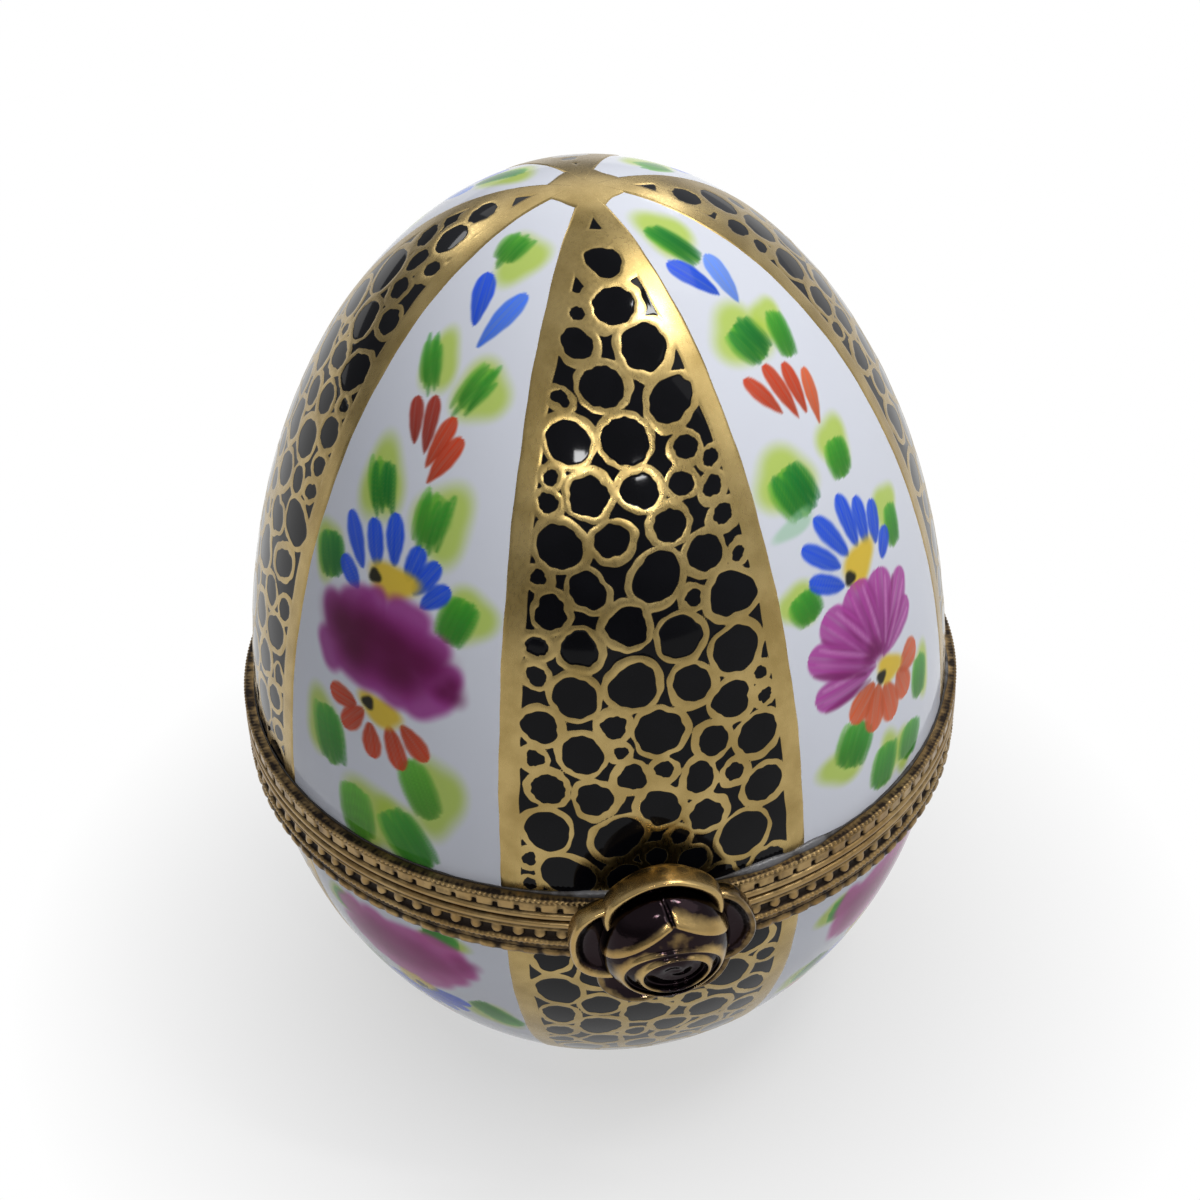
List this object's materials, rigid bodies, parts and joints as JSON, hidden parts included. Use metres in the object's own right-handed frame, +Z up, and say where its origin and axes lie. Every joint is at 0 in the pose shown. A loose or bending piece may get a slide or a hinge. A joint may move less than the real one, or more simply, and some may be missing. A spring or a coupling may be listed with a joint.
{
  "type": "decorative egg box",
  "caption": "Hinged porcelain egg-shaped trinket box with brass collars round both rims, a rear knuckle hinge and a rose-shaped front clasp; stands on its flat foot.",
  "frame": {"origin": "centre of the foot, on the surface that the egg stands on", "axes": "+Z up along the egg's axis, clasp towards -Y, hinge towards +Y"},
  "size_m": [0.046, 0.0525, 0.0596],
  "materials": {
    "porcelain": "gloss white glaze with painted flowers, gilt bands and black enamel",
    "brass": "antiqued, dark in the recesses and rubbed bright on the raised parts",
    "cement": "dull dark bedding cement",
    "hinge_wire": "drawn wire with peened ends"
  },
  "bodies": {
    "base": {"base_shell": "porcelain", "base_collar": "brass", "base_cement": "cement", "base_hinge_leaf": "brass", "hinge_pin": "hinge_wire", "catch_stud": "brass"},
    "lid": {"lid_shell": "porcelain", "lid_collar": "brass", "lid_cement": "cement", "lid_hinge_leaf": "brass", "clasp_tongue": "brass", "clasp_rivet": "brass", "clasp_petals": "brass", "clasp_rosebud": "brass"}
  },
  "joints": [
    {"name": "lid_hinge", "type": "hinge", "parent": "base", "child": "lid", "pos_m": [0, 0.0247, 0.024], "axis": [-1, 0, 0], "range_deg": [0, 100]}
  ]
}
